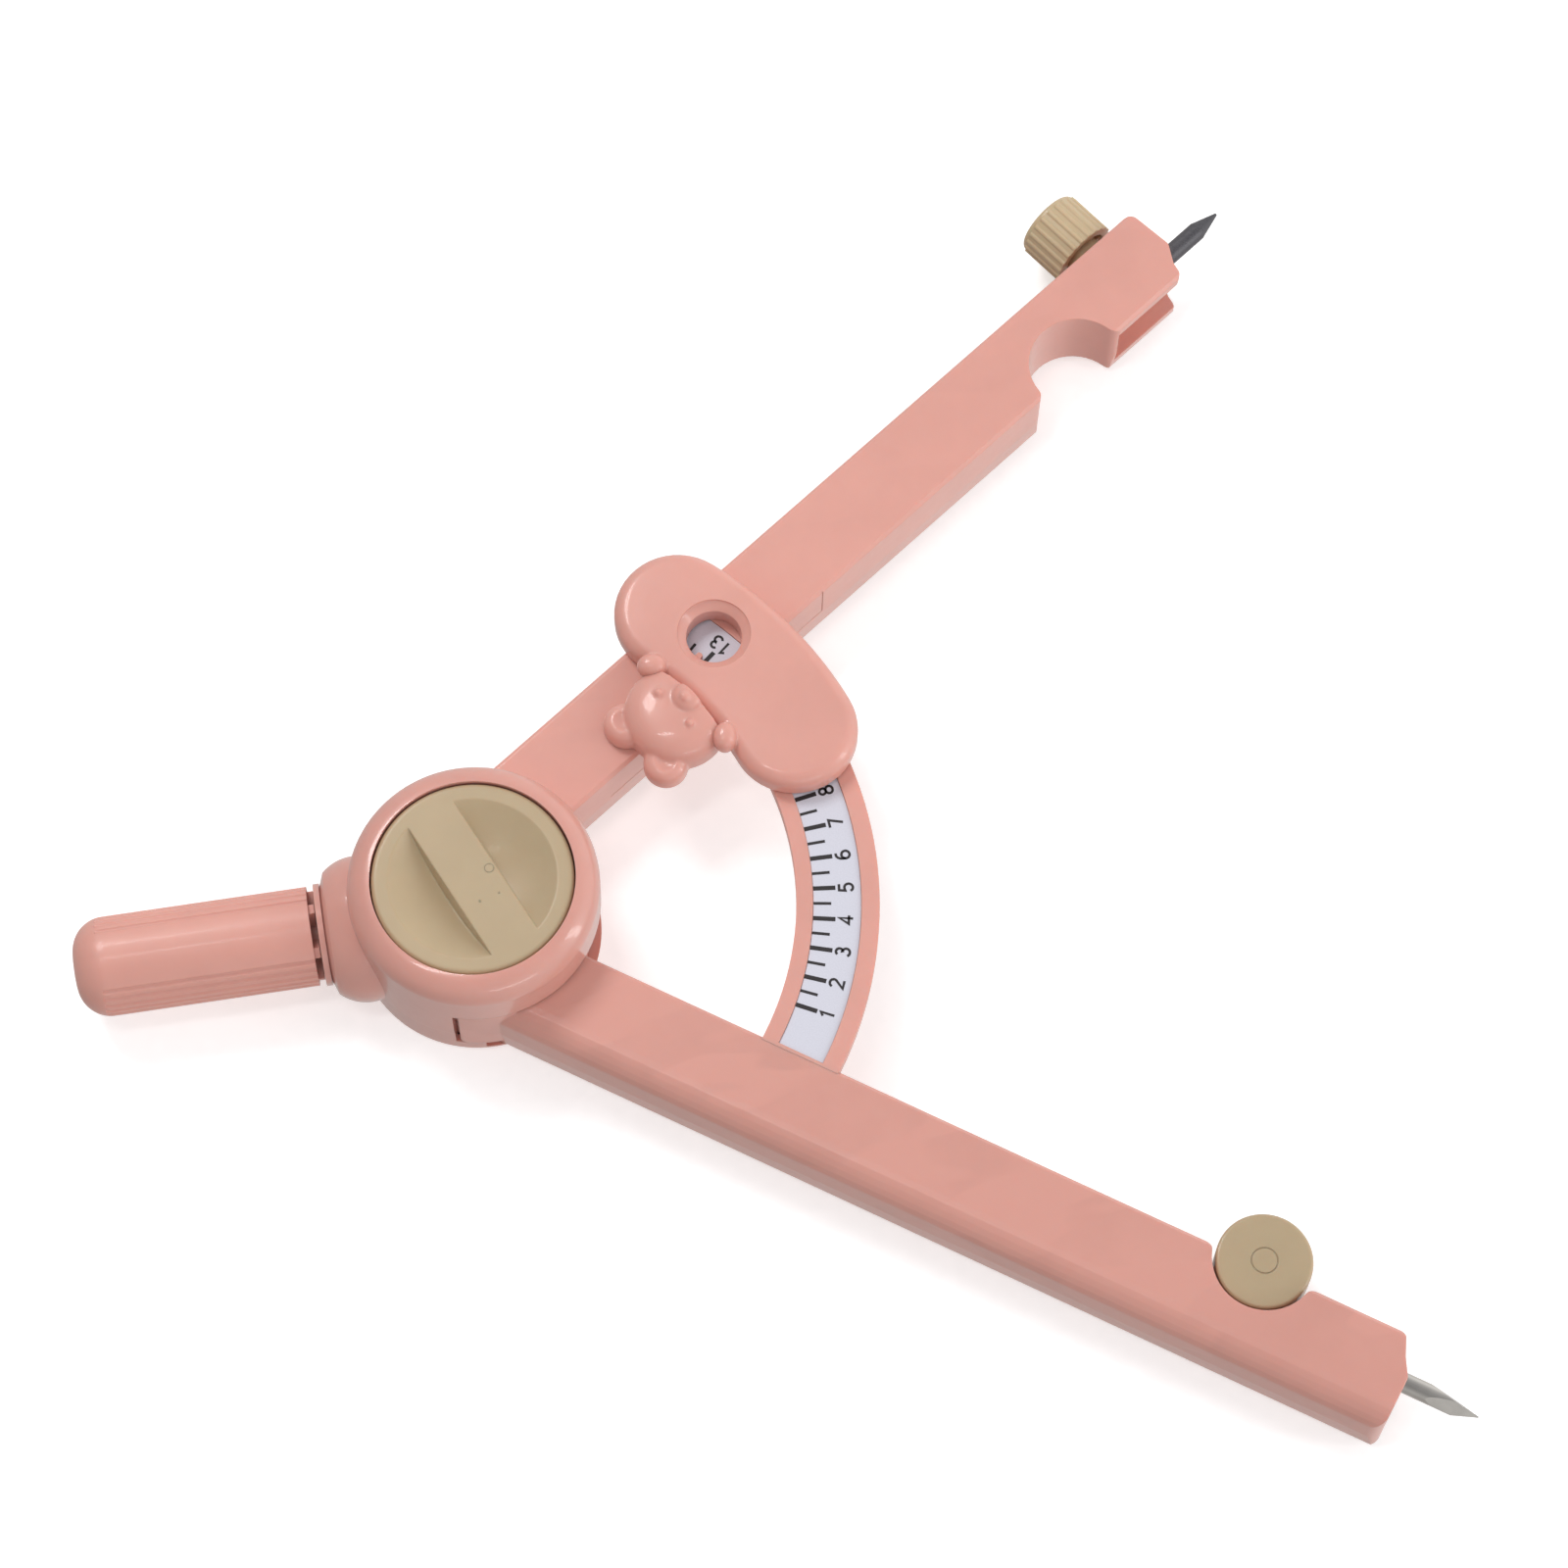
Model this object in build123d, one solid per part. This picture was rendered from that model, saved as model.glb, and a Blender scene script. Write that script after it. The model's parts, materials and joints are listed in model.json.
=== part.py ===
"""Safety drawing compass with a lock dial, a scale arc and a retractable needle.

Millimetres, +Z out of the dial face. The origin is the centre of the hub's back face, on the
hinge axis. The handle points towards -X and the two legs open evenly about +X.
"""

from build123d import *
import math
import os

# Hinge and reach
LEG_ANGLE = 34.8
OVER_OPEN = 2.0
POINT_REACH = 109.6

# Hub
HUB_R = 12.4
BACK_R = 12.22
HUB_WALL = 0.95
WALL_START = 108.5
SEAM_Z = 5.0
FLOOR_TOP = 1.0
SILL_TOP = 2.2
SILL_END = 94.5
PLATE_BOTTOM = 9.9
PLATE_TOP = 11.1
RIM_TOP = 16.4
RIM_SHOULDER = 13.4
BOSS_R = 4.5
BOSS_HEIGHT = 1.6
BOLT_R = 2.0
BOLT_HEX_R = 3.5
BOLT_HEAD = 1.85
BOLT_TOP = 14.4
THREAD_PITCH = 0.45
RUNNING = 0.05

# Collar between hub and handle: places along X and radii about the handle's axis
COLLAR_R = 7.25
COLLAR_IN = -9.5
COLLAR_CROWN = -12.2
COLLAR_OUT = -14.6
COLLAR_OUT_R = 6.1
FLANGE_IN = -15.1
FLANGE_OUT = -15.7

# Cover screws; the channel plate's screws share their sizes
COVER_SCREW_X = -12.4
COVER_SCREW_Y = 3.3
THREAD_R = 0.5
SCREW_HEAD_R = 1.1
SCREW_SEAT = 2.4

# Lock dial
DIAL_R = 9.95
DIAL_TOP = 16.2
DIAL_BOTTOM = 11.6
DIAL_GAP = 0.12
DIAL_BAR_ANGLE = -66.4
DIAL_BAR_HALF = 2.95
SCOOP_R = 8.3
SCOOP_DEPTH = 2.4
DIAL_WALL = 1.1
DIAL_HOLLOW_TOP = 13.6
INSERT_R = 2.85
INSERT_BOTTOM = 12.2
INSERT_TOP = 14.9
SPRING_IN = 2.3
SPRING_OUT = 4.2
SPRING_RISE = 0.55
SPRING_THICK = 0.3
WASHER_R = 9.6
WASHER_THICK = 0.16

# Legs, in a leg's own frame: X along the leg, Y outwards from the closed inner faces
LEG_BOTTOM = 1.15
LEG_TOP = 9.76
INNER_Y = 0.3
NEEDLE_OUTER_Y = 9.8
LEAD_OUTER_Y = 9.2
LEG_END = 101.9
PARTING_Z = 4.93
DRAFT = 0.3
EDGE = 0.35
SKIRT = 0.05
EYE_R = 11.2
EYE_SPLIT = 5.4
EYE_GAP = 0.1
SHIELD_END = 71.2
SHIELD_BOTTOM = 2.5
SHIELD_ROUND = 1.0

# Wheel, carriage and needle
WHEEL_X = 84.9
WHEEL_Y = -0.5
WHEEL_R = 4.75
WHEEL_TOP = 9.0
WHEEL_BOTTOM = 4.7
WHEEL_PIN_R = 1.0
WHEEL_PIN_TOP = 8.0
NOTCH_R = 5.15
NOTCH_ROUND = 1.0
RACK_MODULE = 0.5
PINION_TEETH = 10
RACK_BOTTOM = 2.6
RACK_TOP = 4.4
NEEDLE_Y = 3.7
NEEDLE_R = 1.0
POINT_Z = 5.4
GRIND_LENGTH = 5.3
HEAD_START = 96.4
HEAD_END = 100.9
HEAD_IN = 2.2
HEAD_TOP = 6.8
CARRIAGE_START = 81.9
CARRIAGE_OUT = 5.2
CHANNEL_START = 74.4
CHANNEL_HEAD_START = 88.9
CHANNEL_END = 101.0
CHANNEL_BOTTOM = 2.4
LID_START = 73.2
LID_END = 100.4
LID_OUT = 8.6
LID_TOP = 2.45
LID_TAB_R = 4.4
LID_GAP = 0.1
LID_SCREWS = [(75.6, 7.0), (98.6, 7.0)]
LID_SEAT = 1.9
LID_THREAD_END = 5.2
POCKET_START = 16.5
POCKET_PITCH = 11
POCKET_COUNT = 5
POCKET_WALL = 1.6
POCKET_RIB = 1.2
POCKET_TOP = 5.6

# Lead and its thumb-screw
LEAD_Y = 4.2
LEAD_R = 1.0
SCREW_X = 96.0
SCREW_R = 1.25
THREAD_INSERT_R = 2.2
THREAD_INSERT_Y = 6.4
LEAD_START = 91.0
JAW_START = 90.8
JAW_DEPTH = 2.7
JAW_WALL = 1.25
KNOB_R = 3.8
KNOB_IN = 10.4
KNOB_OUT = 16.0
KNOB_RIBS = 22
KNOB_HUB_R = 2.1
KNOB_RIB_R = 0.3
KNOB_WALL = 1.0
KNOB_HOLLOW = 3.4
KNOB_ROOF = 1.9

# Scale arc and its cover
ARC_IN = 31.65
ARC_OUT = 39.9
ARC_THICK = 1.5
ARC_FOOT = 2.6
ARC_SKIN = 0.6
RECESS = 0.3
LABEL_THICK = 0.12
LABEL_LEAD = 0.4
LABEL_IN = 33.3
LABEL_OUT = 38.1
ARC_PAST_LEAD = 18.5
COVER_R = 36.1
COVER_HALF = 6.4
COVER_BOTTOM = 9.9
COVER_TOP = 12.9
COVER_HIGH = 13.0
COVER_LOW = -14.4
WINDOW_ANGLE = 5.7
WINDOW_R = 2.8
WINDOW_RING = 3.7
POINTER_ANGLE = 6.1
PEG_R = 0.55
PEG_BOTTOM = 7.0
BEAR_X = 27.0
BEAR_R = 5.0
BEAR_HEIGHT = 3.5
EAR_X = 22.9
EAR_Y = 3.7
EAR_R = 1.9
EAR_HEIGHT = 1.7
PAW_X = 29.4
PAW_Y = 5.4
PAW_R = 1.4
MUZZLE_X = 28.6
MUZZLE_HEIGHT = 2.7
MUZZLE_R = 1.5
CORE_START = 18.4
CORE_END = 48.0

# Handle
HANDLE_Z = 6.5
HANDLE_R = 4.95
HANDLE_START = -16.4
HANDLE_END = -40.0
SPINDLE_R = 1.25
SPINDLE_END = -30.5
SPINDLE_HEAD_R = 2.3
SLEEVE_R = 2.3
WEB_REACH = 0.6
FLUTE_R = 0.3
FLUTE_STEP = 11
FLUTE_GROUPS = (73, 193, -47)
HANDLE_ROUND = 3.3
HOLLOW_R = 3.75
WEB_HALF = 0.55
WEB_TURN = 13
SPINDLE_HEAD = (-13.9, -12.5)
RIDGE = (-27.0, -26.2)

# Centring pin
PIN_R = 0.8
PIN_NEAR = 6.6
PIN_TRAVEL = 2.6
PIN_SWEEP = LEG_ANGLE - 0.3 + OVER_OPEN
SLOT_HALF = 1.02
SLOT_END = 8.0
SLOT_STEPS = 18

UP = Vector(0, 0, 1)
ALONG_X = Vector(1, 0, 0)


def at(x, y, z):
    return Pos(x, y, z)


def tube(radius, low, high, x=0, y=0):
    """An upright cylinder between two heights."""
    return at(x, y, (low + high) / 2) * Cylinder(radius, high - low)


def ring(outer, inner, low, high, x=0, y=0):
    return tube(outer, low, high, x, y) - tube(inner, low - 1, high + 1, x, y)


def block(x, y, z):
    """A box from three (low, high) pairs."""
    middle = [(a + b) / 2 for a, b in (x, y, z)]
    return at(*middle) * Box(x[1] - x[0], y[1] - y[0], z[1] - z[0])


def rod_x(radius, low, high, y, z):
    return at((low + high) / 2, y, z) * Rot(0, 90, 0) * Cylinder(radius, high - low)


def rod_y(radius, low, high, x, z):
    return at(x, (low + high) / 2, z) * Rot(90, 0, 0) * Cylinder(radius, high - low)


def polar(radius, degrees):
    angle = math.radians(degrees)
    return radius * math.cos(angle), radius * math.sin(angle)


def prism(points, low, high):
    """An upright prism on a closed outline of straight sides."""
    outline = Polygon(*points, align=None)
    return extrude(at(0, 0, low) * outline, high - low, dir=UP)


def sector(outer, inner, start, end, low, high):
    """A piece of a ring between two angles, in degrees."""
    middle = (start + end) / 2
    edges = [
        Line(polar(inner, start), polar(outer, start)),
        ThreePointArc(polar(outer, start), polar(outer, middle), polar(outer, end)),
        Line(polar(outer, end), polar(inner, end)),
        ThreePointArc(polar(inner, end), polar(inner, middle), polar(inner, start)),
    ]
    return extrude(at(0, 0, low) * make_face(edges), high - low, dir=UP)


def swing(shape, degrees):
    return Rot(0, 0, degrees) * shape


def mirrored(shape):
    return mirror(shape, about=Plane.XZ)


def dome(x, y, base, radius, height):
    """A round cap of a sphere that stands on a level base."""
    ball = (radius**2 + height**2) / (2 * height)
    cap = at(x, y, base + height - ball) * Sphere(ball)
    return cap & block((x - 9, x + 9), (y - 9, y + 9), (base, base + 9))


# ---------------------------------------------------------------- hub covers

def collar():
    """The bulb between hub and handle, turned about the handle's axis, with its thin flange."""
    flange_r = HANDLE_R + 0.15
    start = (COLLAR_IN, COLLAR_R - 0.35)
    edges = [
        Line((COLLAR_IN, 0), start),
        ThreePointArc(start, (COLLAR_CROWN, COLLAR_R), (COLLAR_OUT, COLLAR_OUT_R)),
        Line((COLLAR_OUT, COLLAR_OUT_R), (FLANGE_IN, flange_r - 0.4)),
        Line((FLANGE_IN, flange_r - 0.4), (FLANGE_IN, flange_r)),
        Line((FLANGE_IN, flange_r), (FLANGE_OUT, flange_r)),
        Line((FLANGE_OUT, flange_r), (FLANGE_OUT, 0)),
        Line((FLANGE_OUT, 0), (COLLAR_IN, 0)),
    ]
    half = Plane.XZ * make_face(edges)
    turned = at(0, 0, HANDLE_Z) * revolve(half, Axis.X)
    return turned - tube(HUB_R - 0.5, -5, 25)


def housing_wall(outer, low, high):
    return sector(outer, HUB_R - HUB_WALL, WALL_START, 360 - WALL_START, low, high)


def spindle_space():
    """The room for the spindle and its trapped head."""
    shaft = rod_x(SPINDLE_R, -20, -11, 0, HANDLE_Z)
    head = rod_x(SPINDLE_HEAD_R, *SPINDLE_HEAD, 0, HANDLE_Z)
    return shaft + head


def pin_slot(low, high):
    """The radial slot that keeps the centring pin on the centre line."""
    near = PIN_NEAR - PIN_TRAVEL * OVER_OPEN / PIN_SWEEP
    half = PIN_R + RUNNING
    slot = block((-near - PIN_TRAVEL, -near), (-half, half), (low, high))
    slot += tube(half, low, high, -near)
    return slot + tube(half, low, high, -near - PIN_TRAVEL)


def screw_places():
    return [(COVER_SCREW_X, COVER_SCREW_Y), (COVER_SCREW_X, -COVER_SCREW_Y)]


def front_cover():
    bore = DIAL_R + DIAL_GAP
    edges = [
        Line((bore, PLATE_TOP), (bore, RIM_TOP)),
        ThreePointArc((bore, RIM_TOP), (11.7, 15.55), (HUB_R, RIM_SHOULDER)),
        Line((HUB_R, RIM_SHOULDER), (HUB_R, PLATE_BOTTOM)),
        Line((HUB_R, PLATE_BOTTOM), (0, PLATE_BOTTOM)),
        Line((0, PLATE_BOTTOM), (0, PLATE_TOP)),
        Line((0, PLATE_TOP), (bore, PLATE_TOP)),
    ]
    cup = revolve(Plane.XZ * make_face(edges), Axis.Z)
    cup += tube(BOSS_R, PLATE_BOTTOM - BOSS_HEIGHT, PLATE_TOP)
    cup += housing_wall(HUB_R, SEAM_Z, PLATE_BOTTOM)
    upper_collar = collar() & block((-20, 0), (-10, 10), (SEAM_Z, 20))
    cover = cup + upper_collar
    cover -= tube(BOLT_R + RUNNING, 0, 20)
    cover -= spindle_space()
    cover -= pin_slot(PLATE_BOTTOM - 1, PLATE_BOTTOM + 0.7)
    for x, y in screw_places():
        cover -= tube(THREAD_R, SEAM_Z - 1, SEAM_Z + 3.2, x, y)
    return cover


def back_cover():
    floor = tube(BACK_R, 0, FLOOR_TOP)
    floor = fillet(floor.edges().group_by(Axis.Z)[0], 0.8)
    cover = floor + tube(BOSS_R, 0, FLOOR_TOP + BOSS_HEIGHT)
    cover += housing_wall(BACK_R, FLOOR_TOP - 0.1, SEAM_Z)
    for start, end in ((SILL_END, WALL_START + 1), (359 - WALL_START, 360 - SILL_END)):
        cover += sector(BACK_R, HUB_R - HUB_WALL, start, end, FLOOR_TOP - 0.1, SILL_TOP)
    lower_collar = collar() & block((-20, 0), (-10, 10), (0, SEAM_Z))
    cover += lower_collar
    cover -= tube(BOLT_R + RUNNING, -1, 20)
    cover -= hexagon(BOLT_HEX_R, -1, BOLT_HEAD)
    cover -= spindle_space()
    cover -= pin_slot(FLOOR_TOP - 0.5, FLOOR_TOP + 1)
    for x, y in screw_places():
        cover -= tube(THREAD_R + 0.1, -1, 20, x, y)
        cover -= tube(SCREW_HEAD_R + 0.1, -1, SCREW_SEAT, x, y)
    return cover


def cover_screws():
    """Two self-tapping screws that hold the covers together beside the collar."""
    screws = []
    for x, y in screw_places():
        screw = tube(SCREW_HEAD_R, SCREW_SEAT - 1, SCREW_SEAT, x, y)
        screw += tube(THREAD_R, SCREW_SEAT, SEAM_Z + 3.0, x, y)
        slot = (0, SCREW_SEAT - 0.6)
        screw -= block((x - 0.8, x + 0.8), (y - 0.15, y + 0.15), slot)
        screw -= block((x - 0.15, x + 0.15), (y - 0.8, y + 0.8), slot)
        screws.append(screw)
    return Compound(children=screws)


# ---------------------------------------------------------------- lock

def hexagon(radius, low, high):
    return prism([polar(radius, 60 * i) for i in range(6)], low, high)


def lock_bolt():
    """A hexagon-headed bolt, flush with the back face, with four rings for its thread."""
    bolt = hexagon(BOLT_HEX_R, 0, BOLT_HEAD) + tube(BOLT_R, BOLT_HEAD, BOLT_TOP)
    for turn in range(4):
        low = BOLT_TOP - 1.9 + THREAD_PITCH * turn
        bolt -= ring(BOLT_R + 1, BOLT_R - 0.25, low, low + 0.2)
    return bolt


def lock_dial():
    dial = tube(DIAL_R, DIAL_BOTTOM, DIAL_TOP)
    dial = fillet(dial.edges().group_by(Axis.Z)[-1], 0.5)
    dial -= ring(DIAL_R - DIAL_WALL, BOSS_R + 0.3, DIAL_BOTTOM - 1, DIAL_HOLLOW_TOP)
    dial -= tube(BOSS_R + 1, DIAL_BOTTOM - 1, INSERT_BOTTOM)
    dial -= hexagon(INSERT_R, DIAL_BOTTOM - 1, INSERT_TOP)
    for side in (0, 180):
        dial -= swing(dial_scoop(), DIAL_BAR_ANGLE + side)
    return dial


def dial_scoop():
    """A dished finger hollow beside the bar: a steep wall at the bar, nothing at the rim."""
    ball = (SCOOP_R**2 + SCOOP_DEPTH**2) / (2 * SCOOP_DEPTH)
    dish = at(0, 0, DIAL_TOP - SCOOP_DEPTH + ball) * Sphere(ball)
    top = DIAL_TOP + 1
    low = DIAL_TOP - SCOOP_DEPTH - 1
    wall = [(DIAL_BAR_HALF + 0.1, low), (SCOOP_R + 1, low), (SCOOP_R + 1, top), (DIAL_BAR_HALF - 0.5, top)]
    beside = extrude(Plane.YZ * Polygon(*wall, align=None), SCOOP_R + 1, both=True)
    return dish & beside


def dial_insert():
    """The brass nut moulded into the dial."""
    nut = hexagon(INSERT_R, INSERT_BOTTOM, INSERT_TOP)
    return nut - tube(BOLT_R + RUNNING, INSERT_BOTTOM - 1, INSERT_TOP - 0.2)


def disc_spring():
    """A conical washer between the dial and the front cover."""
    low = PLATE_TOP + 0.05
    edges = Polyline(
        (SPRING_IN, low + SPRING_RISE),
        (SPRING_OUT, low),
        (SPRING_OUT, low + SPRING_THICK),
        (SPRING_IN, low + SPRING_RISE + SPRING_THICK),
        close=True,
    )
    return revolve(Plane.XZ * make_face(edges), Axis.Z)


def eye_washer():
    low = EYE_SPLIT - WASHER_THICK / 2
    return ring(WASHER_R, BOLT_R + RUNNING, low, low + WASHER_THICK) - washer_relief()


def washer_relief():
    """The cut-out that lets the centring pin pass the washer."""
    return block((-10, -4.5), (-1.1, 1.1), (0, 20))


def centring_pin():
    return tube(PIN_R, FLOOR_TOP - 0.4, PLATE_BOTTOM + 0.6, -PIN_NEAR)


def cam_slot(low, high):
    """A spiral slot in a leg's eye: the pin moves out evenly as the leg closes."""
    inner = []
    outer = []
    first = -OVER_OPEN - SLOT_END
    last = PIN_SWEEP - OVER_OPEN + SLOT_END
    for i in range(SLOT_STEPS + 1):
        turn = first + (last - first) * i / SLOT_STEPS
        radius = PIN_NEAR + PIN_TRAVEL * turn / PIN_SWEEP
        inner.append(polar(radius - SLOT_HALF, 180 - LEG_ANGLE + turn))
        outer.append(polar(radius + SLOT_HALF, 180 - LEG_ANGLE + turn))
    return prism(inner + outer[::-1], low, high)


# ---------------------------------------------------------------- legs

def leg_section(outer_y, rounding, x_low, x_high):
    """The leg's section drawn along its length, with draft below the parting line."""
    inner = INNER_Y - SKIRT
    outer = outer_y + SKIRT
    points = [(inner, LEG_TOP - EDGE - SKIRT), (INNER_Y + EDGE, LEG_TOP), (outer - rounding, LEG_TOP)]
    steps = 6
    for i in range(1, steps + 1):
        angle = math.radians(90 * (1 - i / steps))
        y = outer - rounding + rounding * math.cos(angle)
        points.append((y, LEG_TOP - rounding + rounding * math.sin(angle)))
    points += [
        (outer, PARTING_Z),
        (outer_y - DRAFT, LEG_BOTTOM),
        (INNER_Y + DRAFT, LEG_BOTTOM),
        (inner, PARTING_Z),
    ]
    face = Plane.YZ * Polygon(*points, align=None)
    return at(x_low, 0, 0) * extrude(face, x_high - x_low, dir=ALONG_X)


def leg_plan(nose, outer_y, notch_y):
    """The leg's outline with its round notch. Nose corners are (x, y, rounding)."""
    corners = [(0, INNER_Y)] + [(x, y) for x, y, _ in nose] + [(0, outer_y)]
    outline = Polygon(*corners, align=None) - Pos(WHEEL_X, notch_y) * Circle(NOTCH_R)
    half = math.sqrt(NOTCH_R**2 - (INNER_Y - notch_y) ** 2)
    rounds = nose + [(WHEEL_X - half, INNER_Y, NOTCH_ROUND), (WHEEL_X + half, INNER_Y, NOTCH_ROUND)]
    for x, y, radius in rounds:
        corner = outline.vertices().sort_by_distance((x, y, 0))[0]
        outline = fillet(corner, radius)
    return extrude(at(0, 0, LEG_BOTTOM - 1) * outline, LEG_TOP - LEG_BOTTOM + 2, dir=UP)


def leg_body(outer_y, rounding, nose, notch_y):
    body = leg_section(outer_y, rounding, 0, LEG_END + 1) & leg_plan(nose, outer_y, notch_y)
    return body - tube(EYE_R, LEG_BOTTOM - 1, LEG_TOP + 1)


def eye(low, high, boss_low, boss_high, shield_outer_y):
    """One leg's eye with the flush shield that closes the housing's slot."""
    root = math.degrees(math.asin(shield_outer_y / HUB_R)) - 8
    disc = tube(EYE_R, low, high)
    shield = sector(HUB_R - 0.05, EYE_R - 0.3, root, SHIELD_END, SHIELD_BOTTOM, LEG_TOP)
    corner = (*polar(HUB_R - 0.7, SHIELD_END), SHIELD_BOTTOM)
    shield = fillet(shield.edges().sort_by_distance(corner)[0], SHIELD_ROUND)
    disc += shield
    disc -= tube(BOLT_R + RUNNING, 0, 20)
    return disc - tube(BOSS_R + RUNNING, boss_low, boss_high)


def back_pockets(outer_y):
    """Moulding hollows under the leg, with a rib between each."""
    pockets = None
    width = (INNER_Y + POCKET_WALL, outer_y - POCKET_WALL)
    for i in range(POCKET_COUNT):
        x = POCKET_START + POCKET_PITCH * i
        pocket = block((x, x + POCKET_PITCH - POCKET_RIB), width, (0, POCKET_TOP))
        pockets = pocket if pockets is None else pockets + pocket
    return pockets


def needle_leg():
    """The needle leg, drawn with Y outwards and mirrored into place by its caller."""
    nose = [
        (LEG_END - 1.9, INNER_Y, 0.9),
        (LEG_END - 1.0, 2.6, 1.5),
        (LEG_END, 4.4, 0.8),
        (LEG_END - 0.2, NEEDLE_OUTER_Y, 1.3),
    ]
    leg = leg_body(NEEDLE_OUTER_Y, 2.6, nose, WHEEL_Y)
    leg -= tube(EYE_R + 0.15, EYE_SPLIT - EYE_GAP, 20)
    shield_cut = tube(EYE_R + 0.15, EYE_SPLIT - EYE_GAP, 20)
    root = eye(LEG_BOTTOM, EYE_SPLIT - EYE_GAP, 0, FLOOR_TOP + BOSS_HEIGHT + 0.1, NEEDLE_OUTER_Y)
    leg += root - shield_cut
    leg -= cam_slot(0, 20)
    leg -= back_pockets(NEEDLE_OUTER_Y)
    leg -= block((LID_START, LID_END), (INNER_Y - 0.5, LID_OUT), (0, LID_TOP + 0.05))
    side = CARRIAGE_OUT + 0.2
    leg -= block((CHANNEL_START, CHANNEL_END), (0, side), (CHANNEL_BOTTOM, RACK_TOP + 0.1))
    head = (CHANNEL_BOTTOM, HEAD_TOP + 0.2)
    leg -= block((CHANNEL_HEAD_START, CHANNEL_END), (HEAD_IN - 0.2, side), head)
    leg -= rod_x(NEEDLE_R + RUNNING, LEG_END - 2, LEG_END + 2, NEEDLE_Y, POINT_Z)
    leg -= arc_foot(0.02)
    for x, y in LID_SCREWS:
        leg -= tube(THREAD_R, 0, LID_THREAD_END, x, y)
    return leg


def channel_plate():
    """The back plate of the needle's channel, with the round tab that carries the wheel."""
    length = (LID_START + LID_GAP, LID_END - LID_GAP)
    plate = block(length, (INNER_Y + DRAFT, LID_OUT - LID_GAP), (LEG_BOTTOM, LID_TOP))
    plate += tube(LID_TAB_R, LEG_BOTTOM, LID_TOP, WHEEL_X, WHEEL_Y)
    plate -= tube(WHEEL_PIN_R, 0, 5, WHEEL_X, WHEEL_Y)
    for x, y in LID_SCREWS:
        plate -= tube(THREAD_R + 0.1, 0, 5, x, y)
        plate -= tube(SCREW_HEAD_R, 0, LID_SEAT, x, y)
    return plate


def plate_screws():
    screws = []
    for x, y in LID_SCREWS:
        screw = tube(SCREW_HEAD_R - 0.05, LEG_BOTTOM + 0.05, LID_SEAT, x, y)
        screw += tube(THREAD_R, LID_SEAT, LID_THREAD_END - 0.2, x, y)
        screw -= block((x - 0.8, x + 0.8), (y - 0.15, y + 0.15), (1, 1.5))
        screws.append(screw)
    return Compound(children=screws)


def wheel_pin():
    pin = tube(WHEEL_PIN_R, LEG_BOTTOM + 0.1, WHEEL_PIN_TOP, WHEEL_X, WHEEL_Y)
    return chamfer(pin.edges().group_by(Axis.Z)[-1], 0.25)


def needle_wheel():
    """The thumb-wheel with its pinion."""
    wheel = tube(WHEEL_R, WHEEL_BOTTOM, WHEEL_TOP, WHEEL_X, WHEEL_Y)
    wheel = fillet(wheel.edges().group_by(Axis.Z)[-1], 0.35)
    pitch_r = RACK_MODULE * PINION_TEETH / 2
    points = []
    for tooth in range(PINION_TEETH):
        middle = 360 * tooth / PINION_TEETH + 90
        points += [
            polar(pitch_r - 0.6, middle - 14.5),
            polar(pitch_r - 0.05, middle - 8.0),
            polar(pitch_r + 0.42, middle - 3.6),
            polar(pitch_r + 0.42, middle + 3.6),
            polar(pitch_r - 0.05, middle + 8.0),
            polar(pitch_r - 0.6, middle + 14.5),
        ]
    wheel += at(WHEEL_X, WHEEL_Y, 0) * prism(points, RACK_BOTTOM, WHEEL_BOTTOM)
    wheel -= tube(WHEEL_PIN_R + RUNNING, 0, WHEEL_PIN_TOP + 0.1, WHEEL_X, WHEEL_Y)
    return wheel - ring(1.35, 1.2, WHEEL_TOP - 0.1, WHEEL_TOP + 1, WHEEL_X, WHEEL_Y)


def needle_carriage():
    """The sliding rack with the head that grips the needle."""
    pitch_y = WHEEL_Y + RACK_MODULE * PINION_TEETH / 2
    root_y = pitch_y + 0.6
    bar = block((CARRIAGE_START, HEAD_START + 1), (root_y, CARRIAGE_OUT), (RACK_BOTTOM, RACK_TOP))
    head = block((HEAD_START, HEAD_END), (HEAD_IN, CARRIAGE_OUT), (RACK_BOTTOM, HEAD_TOP))
    carriage = bar + head
    pitch = math.pi * RACK_MODULE
    for tooth in range(-1, 6):
        x = WHEEL_X + pitch * (tooth + 0.5)
        points = [
            (x - 0.5, root_y + 0.1),
            (x - 0.5, root_y),
            (x - 0.17, pitch_y - 0.42),
            (x + 0.17, pitch_y - 0.42),
            (x + 0.5, root_y),
            (x + 0.5, root_y + 0.1),
        ]
        carriage += prism(points, RACK_BOTTOM, RACK_TOP)
    return carriage - rod_x(NEEDLE_R, HEAD_START + 0.6, 102, NEEDLE_Y, POINT_Z)


def needle():
    """A round steel needle with a point of three ground faces."""
    tip_x = math.sqrt(POINT_REACH**2 - NEEDLE_Y**2)
    shaft = rod_x(NEEDLE_R, HEAD_START + 0.6, tip_x, NEEDLE_Y, POINT_Z)
    start = tip_x - GRIND_LENGTH
    corners = [(start, NEEDLE_R), (tip_x, 0.04), (tip_x + 2, 4), (start, 4)]
    for face in range(3):
        tool = extrude(Plane.XZ * Polygon(*corners, align=None), 4, both=True)
        shaft -= at(0, NEEDLE_Y, POINT_Z) * Rot(120 * face + 70, 0, 0) * tool
    return shaft


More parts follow.
